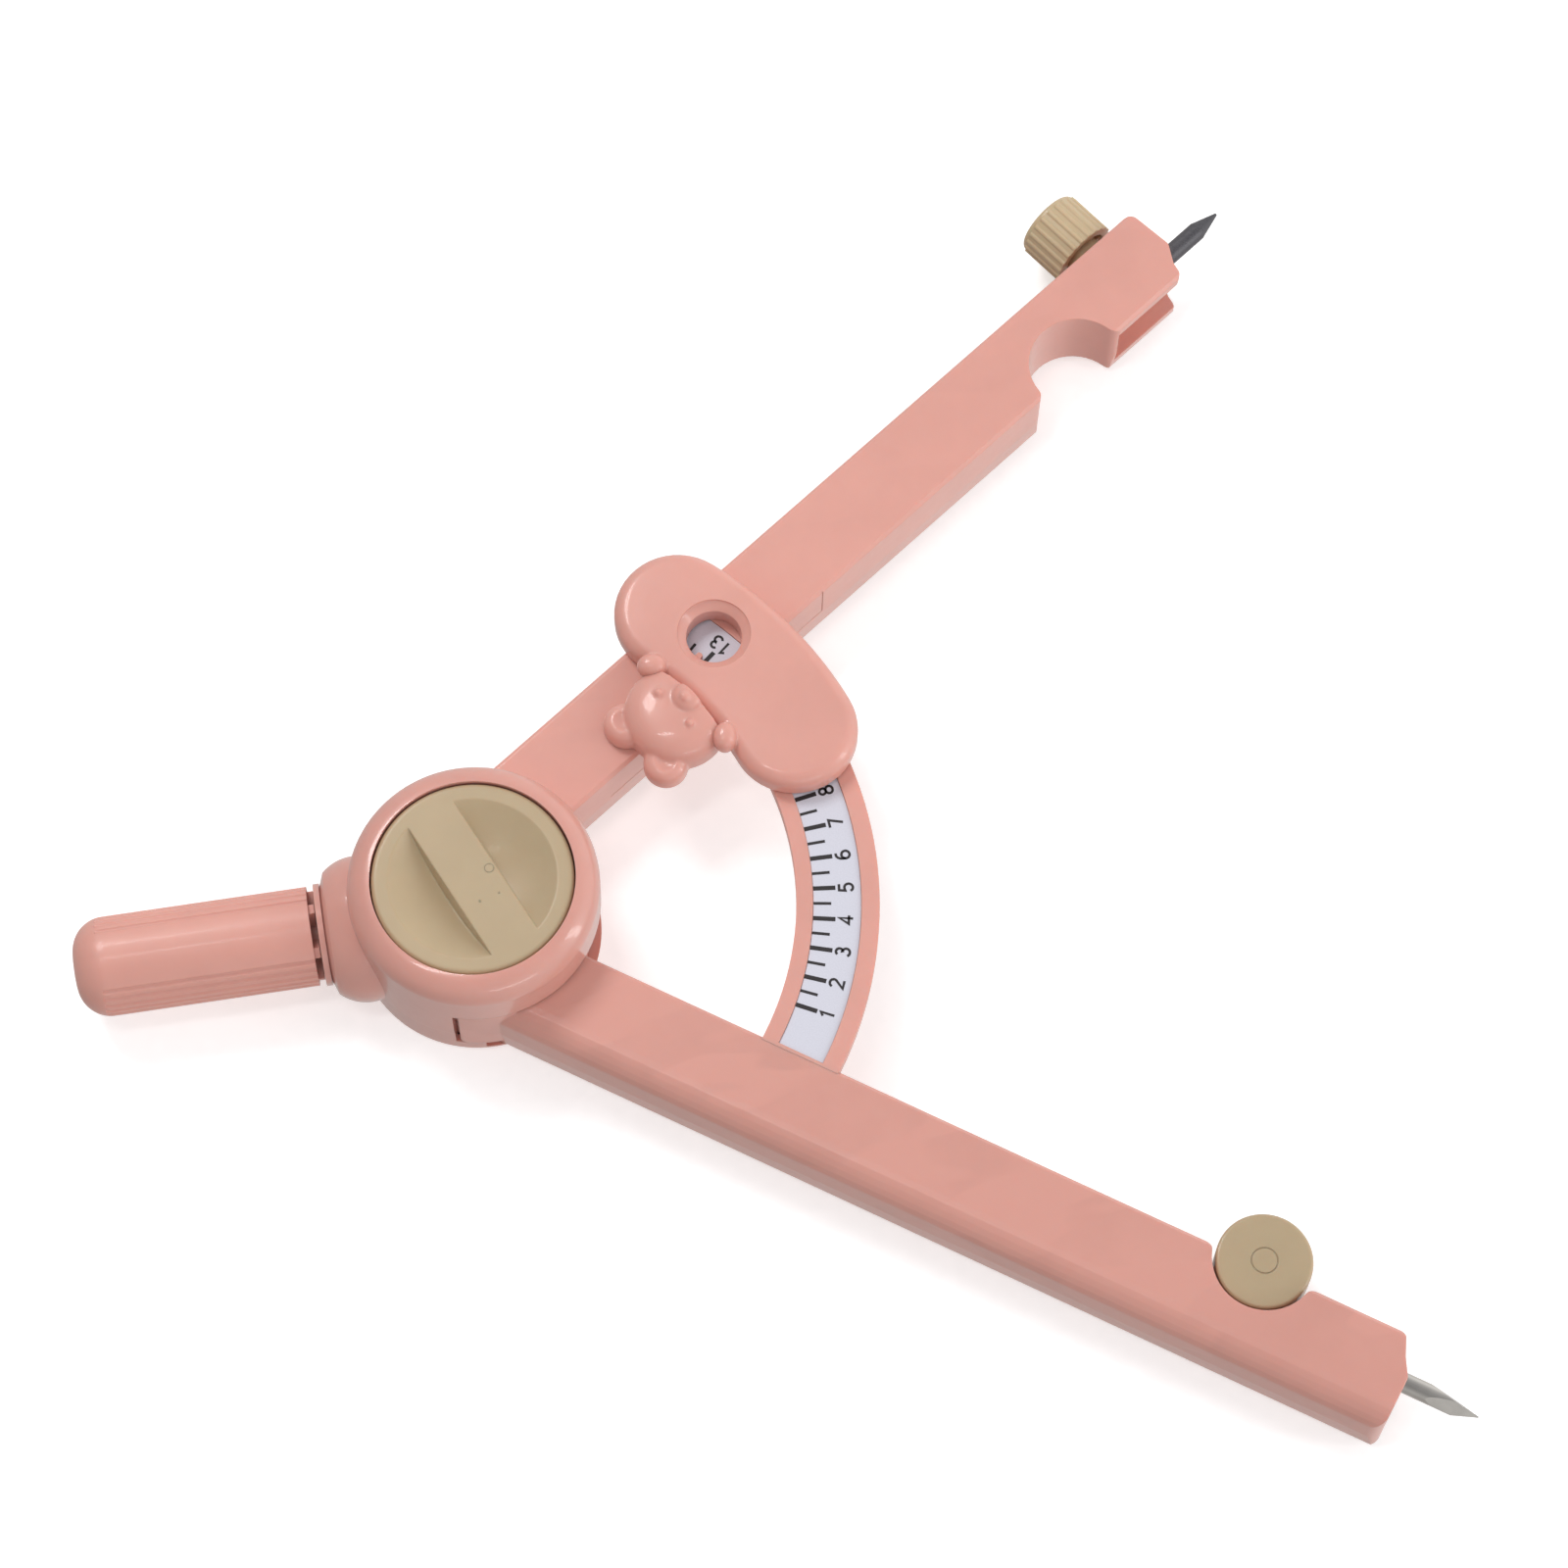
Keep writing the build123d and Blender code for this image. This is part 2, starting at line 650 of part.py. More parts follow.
def lead_leg():
    nose = [
        (LEG_END - 2.0, INNER_Y, 0.9),
        (LEG_END - 1.6, 1.9, 1.2),
        (LEG_END - 0.35, 3.9, 0.8),
        (LEG_END - 0.7, LEAD_OUTER_Y, 1.1),
    ]
    leg = leg_body(LEAD_OUTER_Y, 0.5, nose, WHEEL_Y + 1.0)
    leg -= tube(EYE_R + 0.15, 0, EYE_SPLIT + EYE_GAP)
    root = eye(EYE_SPLIT + EYE_GAP, LEG_TOP, PLATE_BOTTOM - BOSS_HEIGHT - 0.1, 20, LEAD_OUTER_Y)
    leg += root - tube(EYE_R + 0.15, 0, EYE_SPLIT + EYE_GAP)
    leg -= cam_slot(0, 20)
    leg -= back_pockets(LEAD_OUTER_Y)
    leg -= ring(ARC_OUT + 0.4, ARC_IN - 0.35, LEG_TOP - ARC_THICK - 0.2, LEG_TOP + 1)
    jaw = (LEG_BOTTOM + JAW_WALL, LEG_TOP - JAW_WALL - 0.1)
    leg -= block((JAW_START, LEG_END + 1), (-1, JAW_DEPTH), jaw)
    leg -= rod_x(LEAD_R + RUNNING, LEAD_START - 0.4, 103, LEAD_Y, POINT_Z)
    leg -= rod_y(SCREW_R + RUNNING, LEAD_Y, 12, SCREW_X, POINT_Z)
    leg -= rod_y(THREAD_INSERT_R, THREAD_INSERT_Y, 12, SCREW_X, POINT_Z)
    leg -= core_witness()
    for x, y in cover_pegs():
        leg -= tube(PEG_R + 0.02, PEG_BOTTOM - 0.1, 20, x, y)
    return leg


def core_witness():
    """The fine shut-off line of the side core that forms the arc's channel."""
    depth = (0, INNER_Y + 0.12)
    line = block((CORE_START, CORE_END), depth, (PARTING_Z - 0.05, PARTING_Z + 0.07))
    return line + block((CORE_END - 0.1, CORE_END + 0.02), depth, (PARTING_Z, LEG_TOP + 1))


def screw_insert():
    """The brass thread for the thumb-screw."""
    insert = rod_y(THREAD_INSERT_R, THREAD_INSERT_Y, LEAD_OUTER_Y, SCREW_X, POINT_Z)
    return insert - rod_y(SCREW_R + RUNNING, 5, 12, SCREW_X, POINT_Z)


def screw_stem():
    low = LEAD_Y + LEAD_R + 0.03
    return rod_y(SCREW_R, low, KNOB_OUT - KNOB_ROOF - 0.1, SCREW_X, POINT_Z)


def screw_knob():
    """A ribbed knob, hollow on the leg's side, with webs round its hub."""
    knob = rod_y(KNOB_R - 0.18, KNOB_IN, KNOB_OUT, 0, 0)
    knob = fillet(knob.edges().group_by(Axis.Y)[-1], 0.5)
    rib = rod_y(KNOB_RIB_R, KNOB_IN, KNOB_OUT - 0.6, KNOB_R - KNOB_RIB_R, 0)
    for i in range(KNOB_RIBS):
        knob += Rot(0, 360 * i / KNOB_RIBS, 0) * rib
    hollow = rod_y(KNOB_R - KNOB_WALL, KNOB_IN - 1, KNOB_IN + KNOB_HOLLOW, 0, 0)
    hollow -= rod_y(KNOB_HUB_R, KNOB_IN - 2, KNOB_IN + 4, 0, 0)
    for i in range(3):
        web = block((-KNOB_R, KNOB_R), (KNOB_IN + 0.25, KNOB_IN + 4), (-0.4, 0.4))
        hollow -= Rot(0, 60 * i, 0) * web
    knob -= hollow
    knob += rod_y(KNOB_HUB_R, LEAD_OUTER_Y + 0.1, KNOB_IN + 0.5, 0, 0)
    knob -= rod_y(SCREW_R + 0.02, LEAD_OUTER_Y - 1, KNOB_OUT - KNOB_ROOF, 0, 0)
    return at(SCREW_X, 0, POINT_Z) * knob


def lead():
    """A round lead with a sharpened cone."""
    tip_x = math.sqrt(POINT_REACH**2 - LEAD_Y**2)
    shoulder = tip_x - 2.9
    edges = [
        Line((LEAD_START, 0), (LEAD_START, LEAD_R)),
        Line((LEAD_START, LEAD_R), (shoulder, LEAD_R)),
        Line((shoulder, LEAD_R), (tip_x, 0.15)),
        Line((tip_x, 0.15), (tip_x, 0)),
        Line((tip_x, 0), (LEAD_START, 0)),
    ]
    return at(0, LEAD_Y, POINT_Z) * revolve(Plane.XZ * make_face(edges), Axis.X)


# ---------------------------------------------------------------- scale

def arc_foot(clearance):
    """The arc's tongue under the needle leg's skin, with Y outwards."""
    low = LEG_TOP - ARC_THICK - clearance
    inner = ARC_IN + 0.4 - clearance
    outer = ARC_OUT - 0.4 + clearance
    high = LEG_TOP - ARC_SKIN + clearance
    return block((inner, outer), (INNER_Y - 1, ARC_FOOT + clearance), (low, high))


def scale_arc():
    """The arc in the needle leg's frame, Y towards the lead leg."""
    end = 2 * LEG_ANGLE + ARC_PAST_LEAD
    low = LEG_TOP - ARC_THICK
    arc = sector(ARC_OUT, ARC_IN, 0, end, low, LEG_TOP)
    arc += block((ARC_IN, ARC_OUT), (-INNER_Y, 0.05), (low, LEG_TOP))
    arc += arc_lip()
    arc -= sector(LABEL_OUT, LABEL_IN, -LABEL_LEAD, end - 1.5, LEG_TOP - RECESS, LEG_TOP + 1)
    return arc + block((ARC_IN + 0.4, ARC_OUT - 0.4), (-ARC_FOOT, 0.05), (low, LEG_TOP - ARC_SKIN))


def arc_lip():
    """The feather edge that fills the needle leg's edge chamfer beside the arc."""
    points = [(-INNER_Y, LEG_TOP - EDGE), (-INNER_Y - EDGE, LEG_TOP), (-INNER_Y, LEG_TOP)]
    section = Plane.YZ * Polygon(*points, align=None)
    return at(ARC_IN, 0, 0) * extrude(section, ARC_OUT - ARC_IN, dir=ALONG_X)


def scale_label():
    end = 2 * LEG_ANGLE + ARC_PAST_LEAD - 1.6
    low = LEG_TOP - RECESS
    return sector(LABEL_OUT - 0.04, LABEL_IN + 0.04, 0.1 - LABEL_LEAD, end, low, low + LABEL_THICK)


def cover_pegs():
    return [(30.05, 4.6), (41.15, 4.6)]


def scale_cover():
    """The rounded cover over the arc's channel, with its window, pointer and teddy."""
    middle = (COVER_LOW + COVER_HIGH) / 2
    line = ThreePointArc(polar(COVER_R, COVER_LOW), polar(COVER_R, middle), polar(COVER_R, COVER_HIGH))
    outline = SlotArc(line, 2 * COVER_HALF)
    cover = extrude(at(0, 0, COVER_BOTTOM) * outline, COVER_TOP - COVER_BOTTOM, dir=UP)
    cover = fillet(cover.edges().group_by(Axis.Z)[-1], 1.3)
    cover += teddy()
    x, y = polar(COVER_R, WINDOW_ANGLE)
    cover -= tube(WINDOW_R, 0, 20, x, y)
    cover -= at(x, y, 0) * window_bevel()
    cover += swing(pointer(), POINTER_ANGLE)
    for x, y in cover_pegs():
        cover += tube(PEG_R, PEG_BOTTOM, COVER_BOTTOM + 1, x, y)
    return cover


def window_bevel():
    """The sloping lip round the window."""
    edges = Polyline(
        (0, COVER_TOP + 1),
        (WINDOW_RING, COVER_TOP + 1),
        (WINDOW_RING, COVER_TOP - 0.1),
        (WINDOW_RING - 0.4, COVER_TOP - 0.55),
        (0, COVER_TOP - 0.55),
        close=True,
    )
    return revolve(Plane.XZ * make_face(edges), Axis.Z)


def pointer():
    start = COVER_R - WINDOW_R - 0.4
    points = [(start, -0.45), (start + 1.5, -0.3), (start + 1.5, 0.3), (start, 0.45)]
    return prism(points, COVER_BOTTOM, COVER_BOTTOM + 0.6)


def teddy():
    """A plain teddy's head and two paws that rest on the cover's edge."""
    bear = dome(BEAR_X, 0, COVER_BOTTOM, BEAR_R, BEAR_HEIGHT)
    for side in (-1, 1):
        bear += dome(EAR_X, EAR_Y * side, COVER_BOTTOM, EAR_R, EAR_HEIGHT)
        bear += at(PAW_X, PAW_Y * side, COVER_TOP - 0.9) * Sphere(PAW_R)
    return bear + at(MUZZLE_X, 0, COVER_BOTTOM + MUZZLE_HEIGHT) * Sphere(MUZZLE_R)


# ---------------------------------------------------------------- handle

def handle():
    """A fluted grip, hollow towards the collar, with a sleeve and webs inside."""
    grip = rod_x(HANDLE_R, HANDLE_END, HANDLE_START, 0, 0)
    grip = fillet(grip.edges().group_by(Axis.X)[0], HANDLE_ROUND)
    for group in FLUTE_GROUPS:
        for groove in range(-2, 3):
            tool = rod_x(FLUTE_R, HANDLE_END + 2.6, HANDLE_START + 1, 0, HANDLE_R + 0.12)
            grip -= Rot(group + FLUTE_STEP * groove, 0, 0) * tool
    hollow = rod_x(HOLLOW_R, HANDLE_END + 3.5, HANDLE_START + 1, 0, 0)
    hollow -= rod_x(SLEEVE_R, HANDLE_END, HANDLE_START + 2, 0, 0)
    for i in range(3):
        web = block((HANDLE_END, HANDLE_START + 2), (-4, 4), (-WEB_HALF, WEB_HALF))
        hollow -= Rot(60 * i + WEB_TURN, 0, 0) * web
    grip -= hollow
    bore = rod_x(SPINDLE_R + RUNNING, SPINDLE_END - 1.5, HANDLE_START + 1, 0, 0)
    grip += rod_x(SLEEVE_R, HANDLE_START - 1, HANDLE_START + WEB_REACH, 0, 0)
    for i in range(3):
        web = block((HANDLE_START - 1, HANDLE_START + WEB_REACH), (-4.4, 4.4), (-WEB_HALF, WEB_HALF))
        grip += Rot(60 * i + WEB_TURN, 0, 0) * web
    bore -= snap_ridge()
    return at(0, 0, HANDLE_Z) * (grip - bore)


def snap_ridge():
    """The ring inside the sleeve that holds the handle on its spindle."""
    ridge = rod_x(SPINDLE_R + 1, *RIDGE, 0, 0)
    return ridge - rod_x(SPINDLE_R - 0.2, RIDGE[0] - 1, RIDGE[1] + 1, 0, 0)


def handle_spindle():
    pin = rod_x(SPINDLE_R, SPINDLE_END, SPINDLE_HEAD[1], 0, HANDLE_Z)
    pin += rod_x(SPINDLE_HEAD_R, *SPINDLE_HEAD, 0, HANDLE_Z)
    groove = rod_x(SPINDLE_R + 1, RIDGE[0] - 0.2, RIDGE[1] + 0.2, 0, HANDLE_Z)
    groove -= rod_x(SPINDLE_R - 0.25, RIDGE[0] - 1, RIDGE[1] + 1, 0, HANDLE_Z)
    return pin - groove


# ---------------------------------------------------------------- assembly

def on_needle_leg(shape):
    """Takes a shape drawn with Y outwards into the needle leg's place."""
    return swing(mirrored(shape), -LEG_ANGLE)


def on_lead_leg(shape):
    return swing(shape, LEG_ANGLE)


def pieces():
    return {
        "front_cover": front_cover(),
        "back_cover": back_cover(),
        "cover_screws": cover_screws(),
        "lock_bolt": lock_bolt(),
        "lock_dial": lock_dial(),
        "dial_insert": dial_insert(),
        "disc_spring": disc_spring(),
        "eye_washer": eye_washer(),
        "centring_pin": centring_pin(),
        "handle": handle(),
        "handle_spindle": handle_spindle(),
        "needle_leg": on_needle_leg(needle_leg()),
        "channel_plate": on_needle_leg(channel_plate()),
        "plate_screws": on_needle_leg(plate_screws()),
        "wheel_pin": on_needle_leg(wheel_pin()),
        "needle_wheel": on_needle_leg(needle_wheel()),
        "needle_carriage": on_needle_leg(needle_carriage()),
        "needle": on_needle_leg(needle()),
        "scale_arc": swing(scale_arc(), -LEG_ANGLE),
        "scale_label": swing(scale_label(), -LEG_ANGLE),
        "lead_leg": on_lead_leg(lead_leg()),
        "scale_cover": on_lead_leg(scale_cover()),
        "screw_insert": on_lead_leg(screw_insert()),
        "screw_stem": on_lead_leg(screw_stem()),
        "screw_knob": on_lead_leg(screw_knob()),
        "lead": on_lead_leg(lead()),
    }


os.makedirs("parts", exist_ok=True)
for name, piece in pieces().items():
    export_step(piece, f"parts/{name}.step")
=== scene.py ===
"""Looks of the drawing compass: materials, printed scale, moulded cover, studio light and camera."""

import json
import math

import bmesh
import bpy
from mathutils import Matrix, Vector


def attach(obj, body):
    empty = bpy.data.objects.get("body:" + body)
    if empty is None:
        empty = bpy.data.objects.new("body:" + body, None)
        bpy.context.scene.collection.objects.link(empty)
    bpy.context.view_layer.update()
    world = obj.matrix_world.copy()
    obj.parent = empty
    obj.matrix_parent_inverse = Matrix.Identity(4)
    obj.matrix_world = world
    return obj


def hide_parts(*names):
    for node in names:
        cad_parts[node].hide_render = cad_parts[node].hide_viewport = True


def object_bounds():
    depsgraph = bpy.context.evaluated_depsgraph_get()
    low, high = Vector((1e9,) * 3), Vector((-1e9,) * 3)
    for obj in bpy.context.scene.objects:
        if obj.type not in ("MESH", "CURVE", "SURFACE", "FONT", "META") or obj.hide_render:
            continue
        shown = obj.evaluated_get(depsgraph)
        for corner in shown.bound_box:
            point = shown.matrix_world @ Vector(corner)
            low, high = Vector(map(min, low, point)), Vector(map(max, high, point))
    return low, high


MM = 0.001
BEVEL_SAMPLES = 8

# Both legs' angle from +X, and from the pivot to either point; all in millimetres and degrees
LEG_ANGLE = 34.8
POINT_REACH = 109.6

# Printed scale; ticks as (length, width)
LABEL_IN = 33.3
LABEL_OUT = 38.1
LABEL_TOP = 9.58
SCALE_START = 1.85
LAST_CENTIMETRE = 14
WHOLE_TICK = (2.2, 0.45)
HALF_TICK = (1.75, 0.29)
DIGIT_STEP = 1.12
DIGIT_INSET = 1.5
TICK_INSET = 0.05
PEN_HALF = 0.125
INK = 0.02

# Cover over the scale, in the lead leg's own frame: X along the leg, Y across it. The crown's levels
# are (half the width, depth below the top).
COVER_R = 36.1
COVER_HALF = 6.4
COVER_LOW = -14.4
COVER_HIGH = 13.0
COVER_BOTTOM = 9.9
COVER_SHOULDER = 11.35
COVER_TOP = 12.9
COVER_EDGE = 1.5
FOOT_INSET = 0.1
FOOT_HEIGHT = 0.12
CROWN_HEIGHT = 0.12
CROWN_LEVELS = ((3.4, 0.05), (1.7, 0.01), (0.3, 0.0))
WINDOW_ANGLE = 5.7
WINDOW_R = 2.8
WINDOW_RING = 3.7
WINDOW_SIDES = 64
LIP_DEPTH = 0.6
POINTER_ANGLE = 6.1
POINTER_ROOT = 0.5
POINTER_LENGTH = 1.6
POINTER_POINT = 0.1
POINTER_THICK = 0.6
HEAD_GAP = 0.12
VOXEL = 0.12
SHARP_ANGLE = 38

# Teddy, in the lead leg's own frame. Each lump: centre, radii and fullness, 2 being an ellipsoid.
# A pair adds how far each lump is from that centre, across the leg, and its turn in degrees.
HEAD = ((27.4, 0.15, 10.7), (5.1, 5.35, 3.2), 2.9)
MUZZLE = ((29.0, 0.1, 13.5), (1.55, 1.6, 1.25), 2.4)
NOSE = ((28.6, 0.1, 14.65), (0.5, 0.62, 0.4), 2.0)
EYES = ((27.2, 0.15, 13.8), (0.45, 0.45, 0.5), 2.0, 2.25, 0)
EARS = ((23.35, 0.2, 10.3), (2.25, 2.35, 1.8), 3.2, 2.85, 35)
EAR_HOLLOWS = ((23.15, 0.2, 12.6), (1.45, 1.55, 0.85), 2.0, 3.05, 0)
PAWS = ((29.05, 0.1, 12.4), (1.5, 1.2, 1.35), 2.4, 5.3, -45)

# Moulding marks on the dial's bar: (x, y, radius)
DIAL_TOP = 16.2
GATE_RING = (1.76, 0.78, 0.45)
GATE_SPECKS = ((0.39, -2.5, 0.14), (2.35, -1.9, 0.11))
GATE_PEN_HALF = 0.04
MARK_DEPTH = 0.05
MARK_HEIGHT = 0.02

# Camera
CAMERA_AZIMUTH = -10.5
CAMERA_ELEVATION = 68.4
CAMERA_ROLL = 1.5
CAMERA_DISTANCE = 503.8
CAMERA_TARGET = (32.3, 9.0, 6.0)
CAMERA_LENS = 115.15
SENSOR = 36.0

# Studio: lamps as (name, place in metres, size in metres, watts), the room's greys from below to
# above, and its strength on the left and on the right
LAMPS = (
    ("key", (-0.25, 0.5, 0.8), (0.3, 0.3), 3.7),
    ("side", (0.7, -0.25, 0.3), (0.1, 0.6), 1.2),
    ("front", (0.25, -0.8, 0.3), (0.5, 0.05), 0.6),
    ("top", (-0.2, -0.05, 0.9), (0.08, 0.3), 0.9),
)
LAMP_TARGET = (0.03, 0.0, 0.0)
GROUND = (0.66, 0.64, 0.63, 1)
HORIZON = (0.84, 0.84, 0.84, 1)
ZENITH = (0.4, 0.4, 0.41, 1)
GROUND_END = 0.25
HORIZON_ENDS = (0.52, 0.66)
ZENITH_START = 0.97
DIM_SIDE = 0.5
BRIGHT_SIDE = 1.5
FLOOR_HALF = 900
FLOOR_THICK = 2
FLOOR_DARK = (0.78, 0.78, 0.78, 1)
FLOOR_LIGHT = (0.82, 0.82, 0.82, 1)
FLOOR_GLOW = 0.45

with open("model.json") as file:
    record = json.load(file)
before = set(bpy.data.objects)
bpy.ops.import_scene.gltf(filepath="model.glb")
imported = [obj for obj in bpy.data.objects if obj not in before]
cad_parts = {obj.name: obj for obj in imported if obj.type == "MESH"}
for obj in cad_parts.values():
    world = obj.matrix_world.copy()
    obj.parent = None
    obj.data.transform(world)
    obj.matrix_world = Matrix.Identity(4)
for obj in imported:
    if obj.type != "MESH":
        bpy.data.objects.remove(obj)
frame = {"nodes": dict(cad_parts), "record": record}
cad_low, cad_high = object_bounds()
NODES = frame["nodes"]


# ---------------------------------------------------------------- materials

def linear(rgb):
    """Linear colour from 0-255 display values."""
    out = []
    for value in rgb:
        c = value / 255
        out.append(c / 12.92 if c <= 0.04045 else ((c + 0.055) / 1.055) ** 2.4)
    return (*out, 1.0)


def shade(rgb, factor):
    """The same colour, lighter or darker."""
    return tuple(min(255, value * factor) for value in rgb)


class Nodes:
    """A short way to build a node tree."""

    def __init__(self, name):
        self.material = bpy.data.materials.new(name)
        self.material.use_nodes = True
        self.tree = self.material.node_tree
        self.bsdf = self.tree.nodes["Principled BSDF"]

    def add(self, kind, **inputs):
        """A new node with its inputs set."""
        node = self.tree.nodes.new(kind)
        for name, value in inputs.items():
            node.inputs[name].default_value = value
        return node

    def link(self, source, target):
        self.tree.links.new(source, target)

    def place(self, scale=(1, 1, 1), turn=0.0):
        """The object's own coordinates in millimetres, turned about +Z and stretched."""
        coordinates = self.add("ShaderNodeTexCoord")
        mapping = self.add(
            "ShaderNodeMapping",
            Scale=[value / MM for value in scale],
            Rotation=(0, 0, math.radians(turn)),
        )
        self.link(coordinates.outputs["Object"], mapping.inputs["Vector"])
        return mapping.outputs["Vector"]

    def noise(self, vector, scale, detail=3.0, roughness=0.5):
        node = self.add("ShaderNodeTexNoise", Scale=scale, Detail=detail, Roughness=roughness)
        self.link(vector, node.inputs["Vector"])
        return node.outputs["Fac"]

    def ramp(self, factor, stops):
        """A colour ramp; stops are (position, linear colour) pairs."""
        node = self.add("ShaderNodeValToRGB")
        elements = node.color_ramp.elements
        while len(elements) < len(stops):
            elements.new(0.5)
        for element, (position, colour) in zip(elements, stops):
            element.position = position
            element.color = colour
        self.link(factor, node.inputs["Fac"])
        return node.outputs["Color"]

    def span(self, factor, low, high, from_low=0.0, from_high=1.0):
        """Maps a factor between from_low and from_high to a value between low and high."""
        limits = {"From Min": from_low, "From Max": from_high, "To Min": low, "To Max": high}
        node = self.add("ShaderNodeMapRange", **limits)
        self.link(factor, node.inputs["Value"])
        return node.outputs["Result"]

    def mix(self, factor, base, tint):
        """Mixes a fixed tint into a colour socket."""
        node = self.add("ShaderNodeMix")
        node.data_type = "RGBA"
        colours = {socket.name: socket for socket in node.inputs if socket.type == "RGBA"}
        colours["B"].default_value = tint
        self.link(base, colours["A"])
        self.link(factor, node.inputs["Factor"])
        return [socket for socket in node.outputs if socket.type == "RGBA"][0]

    def edge(self, radius):
        """The small moulded radius on each edge."""
        node = self.add("ShaderNodeBevel", Radius=radius * MM)
        node.samples = BEVEL_SAMPLES
        return node.outputs["Normal"]

    def bump(self, height, distance, strength, normal=None):
        """Relief of a depth in millimetres, over another normal where one is given."""
        node = self.add("ShaderNodeBump", Strength=strength, Distance=distance * MM)
        self.link(height, node.inputs["Height"])
        if normal is not None:
            self.link(normal, node.inputs["Normal"])
        return node.outputs["Normal"]

    def wire(self, **sockets):
        """Sets or links the surface's own inputs."""
        for key, value in sockets.items():
            target = self.bsdf.inputs[key.replace("_", " ")]
            if isinstance(value, bpy.types.NodeSocket):
                self.link(value, target)
            else:
                target.default_value = value
        return self.material


def moulded(name, rgb, roughness, coat, edge, flow=0.0, turn=0.0):
    """Injection-moulded plastic: clouded colour, fine skin, soft edges, a little light inside.

    Where flow is over 0, pale flow fronts run along the direction turn.
    """
    n = Nodes(name)
    skin = n.place()
    cloud = n.noise(skin, 0.12, 4.0, 0.55)
    colour = n.ramp(cloud, [(0.3, linear(shade(rgb, 0.98))), (0.7, linear(shade(rgb, 1.015)))])
    fine = n.noise(skin, 1.3, 3.0, 0.5)
    rough = n.span(fine, roughness - 0.02, roughness + 0.03, 0.3, 0.7)
    corner = n.edge(edge) if edge else None
    normal = n.bump(n.noise(skin, 1.6, 2.0, 0.4), 0.002, 0.3, corner)
    normal = n.bump(n.noise(skin, 0.2, 1.0), 0.05, 0.25, normal)
    if flow:
        along = n.place((0.3, 1.0, 1.0), turn)
        front = n.span(n.noise(along, 0.17, 2.0, 0.4), 0.0, 1.0, 0.5, 0.535)
        colour = n.mix(n.span(front, 0.0, flow), colour, linear(shade(rgb, 1.015)))
        normal = n.bump(front, 0.02 * flow, 0.5, normal)
    return n.wire(
        Base_Color=colour,
        Roughness=rough,
        Normal=normal,
        Coat_Weight=coat,
        Coat_Roughness=0.07,
        Coat_IOR=1.5,
        IOR=1.46,
        Subsurface_Weight=0.3,
        Subsurface_Radius=(1.0, 0.4, 0.25),
        Subsurface_Scale=0.001,
    )


def plated(name, rgb, roughness, scratch=1.0, stretch=(1, 1, 1), turn=0.0):
    """Metal with fine turning marks and slightly uneven plating."""
    n = Nodes(name)
    lines = n.noise(n.place(stretch, turn), 6.0, 3.0, 0.6)
    cloud = n.noise(n.place(), 0.5, 2.0)
    colour = n.ramp(cloud, [(0.3, linear(shade(rgb, 0.96))), (0.75, linear(shade(rgb, 1.03)))])
    return n.wire(
        Base_Color=colour,
        Metallic=1.0,
        Roughness=n.span(lines, roughness * 0.8, roughness * 1.3, 0.3, 0.7),
        Normal=n.bump(lines, 0.003, 0.6 * scratch, n.edge(0.06)),
    )


def graphite(name, rgb):
    """Pressed lead: dark grey with a soft metallic sheen and fine grain."""
    n = Nodes(name)
    grain = n.noise(n.place((0.5, 1, 1), -LEG_ANGLE), 9.0, 4.0, 0.7)
    colour = n.ramp(grain, [(0.3, linear(shade(rgb, 0.8))), (0.7, linear(shade(rgb, 1.15)))])
    return n.wire(
        Base_Color=colour,
        Metallic=0.35,
        Roughness=n.span(grain, 0.34, 0.52, 0.3, 0.7),
        Normal=n.bump(grain, 0.01, 0.5),
    )


def film(name, rgb):
    """Printed label film: bluish white with a fine fibre grain."""
    n = Nodes(name)
    fibre = n.noise(n.place(), 7.0, 4.0, 0.7)
    colour = n.ramp(fibre, [(0.3, linear(shade(rgb, 0.97))), (0.7, linear(shade(rgb, 1.02)))])
    return n.wire(
        Base_Color=colour,
        Roughness=n.span(fibre, 0.42, 0.55, 0.3, 0.7),
        Normal=n.bump(fibre, 0.003, 0.4),
        Coat_Weight=0.15,
        Coat_Roughness=0.2,
    )


def ink(name, rgb):
    """Screen-printed ink, slightly uneven at this scale."""
    n = Nodes(name)
    speck = n.noise(n.place(), 12.0, 3.0, 0.7)
    colour = n.ramp(speck, [(0.35, linear(rgb)), (0.8, linear(shade(rgb, 1.5)))])
    return n.wire(Base_Color=colour, Roughness=n.span(speck, 0.5, 0.65), Normal=n.bump(speck, 0.003, 0.4))


PINK = (218, 158, 145)
CREAM = (183, 162, 130)

